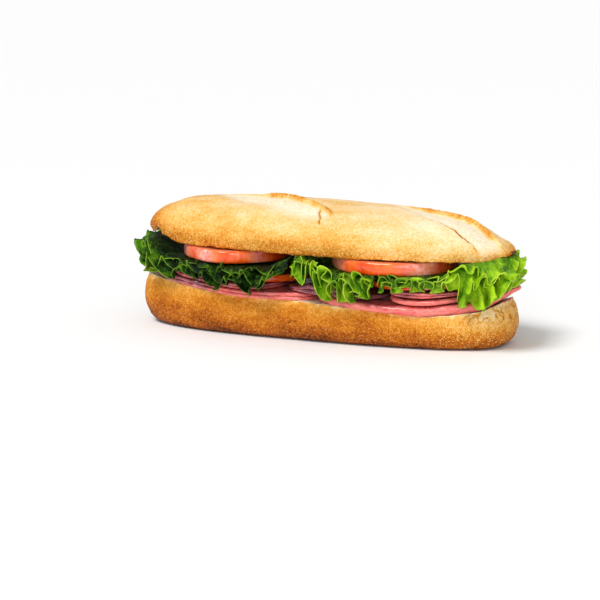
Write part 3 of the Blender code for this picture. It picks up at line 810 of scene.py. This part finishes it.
def crown_dome(turn):
    """The crown's sections along X, each from the front hem over the top to the back hem."""
    s = np.linspace(-1, 1, CROWN_COLUMNS + 2)[1:-1]
    x = CROWN_HALF_LENGTH * (0.55 * s + 0.45 * np.sin(math.pi / 2 * s))[:, None]
    power = 2 / CROWN_SECTION_SQUARENESS
    share = np.abs(x) / CROWN_HALF_LENGTH
    half = CROWN_HALF_WIDTH * (1 - share**CROWN_SQUARENESS) ** 0.5
    half = half + lumps(x, 0.0, 0.6, 60.0, 3.0) * (1 - share)
    y = -half * np.sign(np.cos(turn)) * np.abs(np.cos(turn)) ** power
    z = along(CROWN_RISE, x) * np.sin(turn) ** power
    y = y * (1 - CROWN_EDGE_INSET / CROWN_HALF_WIDTH * (1 - ease(z / CROWN_EDGE_HEIGHT)))
    return x + 0 * y, y, z


def crown_hem(grid, over):
    """How far the crust's lower edge rises: ragged all round and torn at the left end's shown side."""
    torn = 3.4 * spot(grid, CROWN_NOTCH) - 1.6 * spot(grid, CROWN_FLAP)
    torn = torn + 1.3 * noise(grid, 3.0, 26, 2) * ease((-grid[..., 0] - 92) / 5)
    ragged = 0.5 * noise(grid, 6.0, 25, 2)
    return (1 - ease(over / 0.35)) * (ragged + torn * ease(-grid[..., 1] / 6))


def crown_marks(grid, over, floor, ear, shaded_crack):
    """How brown each point is, painted shade low and light on top, what is crumb and where painted glints
    show.
    """
    x = grid[..., 0]
    # Darker near the hem and palest on top: partly real browning, partly painted shade and painted light
    bake_and_shade = along(CROWN_BAKE_AND_SHADE, over) + 0.06 * ease((-x - 40) / 50) - 0.16 * ease((x - 10) / 60)
    bake_and_shade = bake_and_shade + 0.04 * noise(grid, 20.0, 22, 2) + 0.05 * ease((-x - 106) / 7)
    bake_and_shade = np.maximum(bake_and_shade, ear * (0.57 + 0.07 * noise(grid, 8.0, 23, 3)))
    # The cracks, the tear and the line under the ears are painted dark brown as shadow in the grooves
    bake_and_shade = np.maximum(bake_and_shade, shaded_crack * 0.88) + 0.6 * spot(grid, CROWN_BURNT_TIP)
    crumb = floor * 0.92
    crumb[:, CROWN_ROWS:] = 1 - ease((np.abs(x[:, CROWN_ROWS:]) - 107) / 4)
    crumb = crumb * (1 - ease(ear * 1.4)) * (1 - ease(shaded_crack * 1.6))
    # Where the grain is coarse and painted glints of light show: near the hem
    grain_and_glints = ease(1.2 - over) * 0.8
    grain_and_glints[:, CROWN_ROWS:] = 0.0
    return {"bake_and_shade": bake_and_shade, "crumb": crumb, "grain_and_glints": grain_and_glints}


def build_crown(material):
    """The upper half of the roll: sections along X, each a domed and scored crust over the cut face."""
    turn = np.linspace(0, math.pi, CROWN_ROWS)[None, :]
    x, y, z = crown_dome(turn)
    relief, *score_marks = score_relief(x, y)
    fade = ease(z / 12.0)
    across = np.linspace(1, -1, CROWN_CUT_ROWS + 2)[None, 1:-1]
    under_y = np.abs(y[:, :1]) * across
    none = np.zeros_like(under_y)

    def with_cut(values, cut=none):
        return np.concatenate([values, cut], axis=1)

    over = with_cut(z / CROWN_EDGE_HEIGHT)
    z = with_cut(z + relief * fade + lumps(x, y, 0.6, 44.0, 7.0) * np.sin(turn))
    x, y = with_cut(x, x[:, :1] + none), with_cut(y, under_y)
    grid = np.stack([x, y, z + crown_cut(x, y)], axis=2)
    shown = grid + grid_normals(grid) * (crust_relief(grid, 21) * 0.9)[..., None]
    shown[..., 2] += crown_hem(grid, over)
    marks = crown_marks(grid, over, *[with_cut(mark * fade) for mark in score_marks])
    place_mesh("crown_crust", [closed_part(shown, marks)], material, "crown")


def slice_profile(face_scales, edge_rows):
    """Rings of a slice from the middle of its underside to the middle of its top: scale, edge turn, share."""
    turns = np.linspace(-math.pi / 2, math.pi / 2, edge_rows)
    low = [(scale, 0.0, 0.0) for scale in face_scales]
    edge = [(None, math.cos(turn), (1 + math.sin(turn)) / 2) for turn in turns]
    return low + edge + [(scale, 0.0, 1.0) for scale in reversed(face_scales)]


def tomato_grid(tomato, x, y):
    """A slice's rings within an outline, and how much of each ring is skin."""
    cx, cy = tomato["centre"]
    reach = np.hypot(x, y)
    corner = TOMATO_CORNER * tomato["thick"]
    rings, skin = [], []
    for scale, turn, share in slice_profile(TOMATO_FACE_SCALES, TOMATO_EDGE_ROWS):
        if scale is None:
            factor = (reach - corner * (1 - turn) ** 1.6) / reach
            skin.append(1.0 if 0.03 < share < 0.97 else 0.3)
        else:
            factor = scale * (1 - corner / reach.mean())
            skin.append(0.0)
        px, py = x * factor, y * factor
        z = tomato["bottom"] + tomato["slope"] * px + tomato["thick"] * share
        rings.append(np.stack([px + cx, py + cy, z], axis=1))
    return np.array(rings), np.repeat(np.array(skin)[:, None], TOMATO_COLUMNS, axis=1)


def build_tomato(name, material):
    """A slice of tomato: a bulging band of skin between two wet cut faces with seed pockets."""
    tomato = TOMATOES[name]
    cx, cy = tomato["centre"]
    x, y = oval(*tomato["radii"], (2.0, 2.0), TOMATO_COLUMNS)
    angle = np.arctan2(y, x)
    lobed = 1 + TOMATO_LOBE_HEIGHT / tomato["radii"][0] * np.cos(TOMATO_LOBES * angle + cx)
    x, y = x * lobed, y * lobed
    grid, skin = tomato_grid(tomato, x, y)
    radius = np.hypot(grid[..., 0] - cx, grid[..., 1] - cy) / np.hypot(x, y)
    shown = grid + grid_normals(grid) * (0.10 * noise(grid, 7.0, 41, 2))[..., None]
    pockets = np.cos(TOMATO_LOBES * (angle + 0.3)) * ease((radius - 0.25) / 0.2) * ease((0.85 - radius) / 0.1)
    upper = np.sign(grid[..., 2] - grid[..., 2].mean())
    shown[..., 2] -= TOMATO_POCKET_DEPTH * (1 - skin) * ease(pockets * 2) * upper
    wall = (ease((radius - 0.84) / 0.04) + 1 - ease(radius / 0.2)) * (1 - skin)
    # Painted highlights on the skin at the given bearings, patchy
    bearing = np.degrees(angle)
    pale = np.zeros_like(bearing)
    for middle, width in tomato["pale"]:
        pale = np.maximum(pale, bell((bearing - middle) / width))
    pale = pale * skin * (0.6 + 0.4 * noise(grid, 5.0, 42, 2))
    marks = {"skin": skin, "wall": wall, "pale": np.clip(pale, 0, 1)}
    place_mesh(name + "_slice", [closed_part(shown, marks)], material, name)


def ham_sheet(ham, x, y, sheet, seed):
    """One limp sheet of a slice, with a wandering rounded edge and streaks of mauve."""
    cx, cy = ham["centre"]
    size = np.hypot(x, y)
    around = np.stack([x, y, 0 * x + 40 * sheet], axis=1)
    wander = 0.9 * noise(around, 14.0, seed, 2) + 0.35 * noise(around, 4.0, seed + 1, 2) - 0.8
    rings, grey = [], []
    for scale, turn, share in slice_profile(HAM_FACE_SCALES, HAM_EDGE_ROWS):
        thick = along(ham["thick"], x + cx) / ham["sheets"]
        if scale is None:
            factor = (size + wander - thick / 2 * (1 - turn)) / size
        else:
            factor = (size + wander - thick / 2) / size * scale
        px, py = x * factor + cx, y * factor + cy
        thick = along(ham["thick"], px) / ham["sheets"]
        low = heel_cut(px, py) + along(ham["lift"], px) + thick * sheet
        rings.append(np.stack([px, py, low + thick * (0.02 + 0.96 * share)], axis=1))
        grey.append(along(ham["grey"], px) + 0.2 * (sheet % 2) - 0.15 * (turn > 0.8))
    grid = np.array(rings)
    shown = grid + grid_normals(grid) * (0.10 * noise(grid, 3.0, seed + 2, 2))[..., None]
    return closed_part(shown, {"grey": np.array(grey)})


def build_ham(name, material):
    """A folded slice of ham: one or two limp sheets cut to the roll's outline."""
    ham = HAMS[name]
    x, y = oval(*ham["half"], ham["squareness"], HAM_COLUMNS)
    reach = np.minimum(np.abs((x + ham["centre"][0]) / HEEL_HALF_LENGTH), 1)
    y = y * np.maximum((1 - reach**HEEL_SQUARENESS) ** (1 / HEEL_SQUARENESS), HAM_TIP_SHARE)
    seed = 50 + 7 * sorted(HAMS).index(name)
    sheets = [ham_sheet(ham, x, y, sheet, seed) for sheet in range(ham["sheets"])]
    place_mesh(name + "_slice", sheets, material, name)


def leaf_strips(leaf):
    """Evenly spaced x, y and run round a leaf's part of the oval edge, from the shown side to the back."""
    if "outer" in leaf:
        x = np.linspace(leaf["inner"], leaf["outer"], 200)
        share = (1 - np.abs(x / LEAF_HALF_LENGTH) ** LEAF_SQUARENESS) ** (1 / LEAF_SQUARENESS)
        sides = [(x, -LEAF_HALF_WIDTH * share), (x[::-1], LEAF_HALF_WIDTH * share[::-1])]
    else:
        power = 2 / LEAF_SQUARENESS
        limit = math.acos((abs(leaf["inner"]) / LEAF_HALF_LENGTH) ** (1 / power))
        turn = np.linspace(-limit, limit, 1601)
        x = math.copysign(LEAF_HALF_LENGTH, leaf["inner"]) * np.cos(turn) ** power
        sides = [(x, LEAF_HALF_WIDTH * np.sign(turn) * np.abs(np.sin(turn)) ** power)]
    strips = []
    begin = 0.0
    for x, y in sides:
        run = begin + np.concatenate([[0], np.cumsum(np.hypot(np.diff(x), np.diff(y)))])
        want = np.linspace(begin, run[-1], int((run[-1] - begin) / LEAF_STEP) + 1)
        strips.append((np.interp(want, run, x), np.interp(want, run, y), want))
        begin = run[-1]
    return strips


def leaf_wave(leaf, run, whole, layer):
    """The frill's big wave along the edge, with rounded crests, and its phase."""
    steps = np.diff(run, prepend=run[0]) / along(leaf["wave"], run / whole)
    uneven = np.cumsum(steps) + 0.2 * line_noise(run, 27.0, layer["seed"] + 4)
    drift = LEAF_DRIFT * np.sin(run / LEAF_DRIFT_LENGTH)
    phase = 2 * math.pi * uneven + leaf["phase"] + drift + layer["phase"]
    wave = (np.sin(phase) + 0.2 * np.sin(1.7 * phase + 1.0)) / 1.2
    return np.tanh(LEAF_ROUND * wave) / math.tanh(LEAF_ROUND), phase


def leaf_frill(leaf, run, whole, layer, out, side):
    """The frill row by row from the edge out to its hem: level steps, heights and shares of its length."""
    seed = layer["seed"]
    wave, phase = leaf_wave(leaf, run, whole, layer)
    frill, droop, swing, ruffle = (along(leaf[k], run / whole) for k in ("frill", "droop", "swing", "ruffle"))
    hang = np.radians(droop + layer["lift"] + swing * wave * (1.1 + 0.4 * line_noise(run, 22.0, seed + 3)))
    teeth = 1 + 0.10 * line_noise(run, 5.0, seed) + 0.07 * line_noise(run, 1.9, seed + 5)
    step = frill * (1 + LEAF_LOBE * wave) * layer["length"] * teeth / LEAF_FRILL_ROWS
    calm = ease(np.minimum(run - run[0], run[-1] - run) / LEAF_CALM)
    ripple = 2 * math.pi * run / LEAF_RIPPLE + 2.6 * np.sin(run / 8.3) + seed
    strength = (0.8 + 0.6 * line_noise(run, 13.0, seed + 1)) * ruffle
    crumple = line_noise(run, 2.3, seed + 2) * ruffle
    curl = 0.5 + line_noise(run, 7.0, seed + 9)
    rows, heights = [], []
    shares = np.arange(LEAF_FRILL_ROWS + 1) / LEAF_FRILL_ROWS
    place, height = 0 * out, 0 * run
    for share in shares:
        bow = -LEAF_BOW * np.sin(2 * phase) * share**1.5 - 0.8 * np.sin(2 * ripple) * strength * share**2
        rows.append(place + side * (bow * calm)[:, None])
        heights.append(height)
        turned = hang * ease((share + 0.5 / LEAF_FRILL_ROWS) / LEAF_TURN_SHARE)
        turned = turned + calm * LEAF_RIPPLE_TURN * np.sin(ripple) * strength * share**0.8
        turned = turned + calm * LEAF_CRUMPLE_TURN * crumple * share**3
        turned = turned - LEAF_CURL_TURN * curl * ease((share - 0.7) / 0.3)
        place = place + out * (np.cos(turned) * step)[:, None]
        height = height - np.sin(turned) * step
    return rows, heights, shares


def leaf_grid(leaf, x, y, run, whole, layer):
    """The middle surface of a leaf, from its spine to the crinkled hem of its frill."""
    edge = np.stack([x, y], axis=1)
    half = np.array([LEAF_HALF_LENGTH, LEAF_HALF_WIDTH])
    out = np.sign(edge) * np.abs(edge / half) ** (LEAF_SQUARENESS - 1) / half
    out /= np.linalg.norm(out, axis=1)[:, None]
    side = np.stack([-out[:, 1], out[:, 0]], axis=1)
    foot = np.stack([np.clip(x, -LEAF_SPINE_HALF_LENGTH, LEAF_SPINE_HALF_LENGTH), 0 * x], axis=1)
    frill, heights, shares = leaf_frill(leaf, run, whole, layer, out, side)
    rows = [foot + (edge - foot) * i / LEAF_FLAT_ROWS for i in range(LEAF_FLAT_ROWS)]
    flat = np.stack(rows + [edge + row for row in frill], axis=1)
    heights = np.stack([0 * x] * LEAF_FLAT_ROWS + heights, axis=1)
    level = along(leaf["level"], flat[..., 0]) + layer["rise"]
    grid = np.concatenate([flat, (level + heights)[..., None]], axis=2)
    shares = np.concatenate([np.zeros(LEAF_FLAT_ROWS), shares])
    seed = layer["seed"]
    small = [0.7 * noise(grid, 5.5, seed + 6 + k, 2) for k in range(3)]
    broad = [1.3 * noise(grid, 13.0, seed + 12 + k) for k in range(3)]
    crinkle = np.stack(small, axis=2) + np.stack(broad, axis=2)
    return grid + crinkle * (ease(shares * 4) * ease((1.2 - shares) / 0.6))[None, :, None], shares


def leaf_marks(leaf, grid, run, shares):
    """How bright the leaf is at each point, with painted shade towards its foot, and how much of it is vein
    and pale rim.
    """
    share = shares[None, :] + 0 * run[:, None]
    thick = line_noise(run, 3.0, 81)[:, None]
    patchy = 0.15 + 0.85 * ease(0.45 + line_noise(run, 5.0, 84))[:, None]
    rim = ease((share - 0.955 + 0.02 * thick) / 0.04) * patchy
    lean = run[:, None] + 2.0 * line_noise(run, 9.0, 82)[:, None] + 3 * share
    from_vein = np.abs(np.sin(math.pi * lean / LEAF_VEIN_STEP))
    vein = bell(from_vein / (0.06 + 0.05 * (1 - share))) * (1 - share) * 0.7
    # Darker towards the foot, deep under the fillings, as painted shade; lighter towards the hem
    bright = along(leaf["bright"], grid[..., 0]) + 0.25 * share**3 - 0.2 * (1 - share) ** 2
    return {"rim": rim * 0.6, "vein": vein, "bright": bright}


def build_leaf(name, layer, material):
    """One layer of a lettuce leaf that runs through the sandwich, with ruffles on its ruffles."""
    leaf = LEAVES[name]
    strips = leaf_strips(leaf)
    whole = strips[-1][2][-1]
    parts = []
    for x, y, run in strips:
        grid, shares = leaf_grid(leaf, x, y, run, whole, layer)
        parts.append(open_part(grid, leaf_marks(leaf, grid, run, shares)))
    node = None if layer["suffix"] else name
    piece = place_mesh(name + "_leaf" + layer["suffix"], parts, material, node)
    solidify = piece.modifiers.new("thickness", "SOLIDIFY")
    solidify.thickness = LEAF_THICKNESS * MM
    solidify.offset = 0.0


def add_camera():
    """The photograph's view: where it stands, what it looks at and how far it zooms."""
    azimuth, elevation = math.radians(CAMERA_AZIMUTH), math.radians(CAMERA_ELEVATION)
    level = math.cos(elevation)
    back = Vector((math.sin(azimuth) * level, -math.cos(azimuth) * level, math.sin(elevation)))
    right = Vector((math.cos(azimuth), math.sin(azimuth), 0))
    up = back.cross(right)
    shift_x, shift_y = (pixel - FRAME_PIXELS / 2 for pixel in ORIGIN_PIXEL)
    target = -right * shift_x * METRES_PER_PIXEL + up * shift_y * METRES_PER_PIXEL
    camera = bpy.data.objects.new("camera", bpy.data.cameras.new("camera"))
    bpy.context.scene.collection.objects.link(camera)
    camera.location = target + back * CAMERA_DISTANCE
    camera.rotation_mode = "QUATERNION"
    camera.rotation_quaternion = back.to_track_quat("Z", "Y")
    camera.data.sensor_width = SENSOR
    camera.data.lens = CAMERA_DISTANCE / METRES_PER_PIXEL / FRAME_PIXELS * SENSOR
    bpy.context.scene.camera = camera


def add_floor():
    """A plain pale floor that fills the view."""
    half = FLOOR_HALF_WIDTH
    corners = [(-half, -half, 0), (half, -half, 0), (half, half, 0), (-half, half, 0)]
    mesh = bpy.data.meshes.new("floor")
    mesh.from_pydata(corners, [], [(0, 1, 2, 3)])
    paint = Paint("floor")
    paint.set(Base_Color=colour(250, 250, 250), Roughness=0.9)
    mesh.materials.append(paint.material)
    floor = bpy.data.objects.new("floor", mesh)
    bpy.context.scene.collection.objects.link(floor)


def add_light(name, kind, place, power):
    """A lamp that looks at the sandwich."""
    light = bpy.data.lights.new(name, kind)
    light.energy = power
    lamp = bpy.data.objects.new(name, light)
    lamp.location = place
    lamp.rotation_mode = "QUATERNION"
    lamp.rotation_quaternion = (Vector(place) - Vector(LIGHT_TARGET)).to_track_quat("Z", "Y")
    bpy.context.scene.collection.objects.link(lamp)
    return light


def add_lights():
    """Soft white studio light: a bright room, a large far lamp overhead and a fill from the front."""
    world = bpy.data.worlds.new("studio")
    bpy.context.scene.world = world
    world.use_nodes = True
    background = world.node_tree.nodes["Background"]
    background.inputs["Color"].default_value = (1, 1, 1, 1)
    background.inputs["Strength"].default_value = 0.5
    add_light("key", "SUN", (-0.25, -0.6, 0.95), 2.1).angle = math.radians(24)
    add_light("fill", "AREA", (0.5, -1.2, 0.35), 4).size = 0.6
    bpy.context.scene.view_settings.view_transform = "Standard"


def build_sandwich():
    """Every piece of the sandwich, from the heel up."""
    crust = crust_material()
    build_heel(crust)
    ham = ham_material()
    for name in HAMS:
        build_ham(name, ham)
    tomato = tomato_material()
    for name in TOMATOES:
        build_tomato(name, tomato)
    lettuce = lettuce_material()
    for name in LEAVES:
        for layer in LEAF_LAYERS:
            build_leaf(name, layer, lettuce)
    build_crown(crust)


add_camera()
add_floor()
add_lights()
build_sandwich()
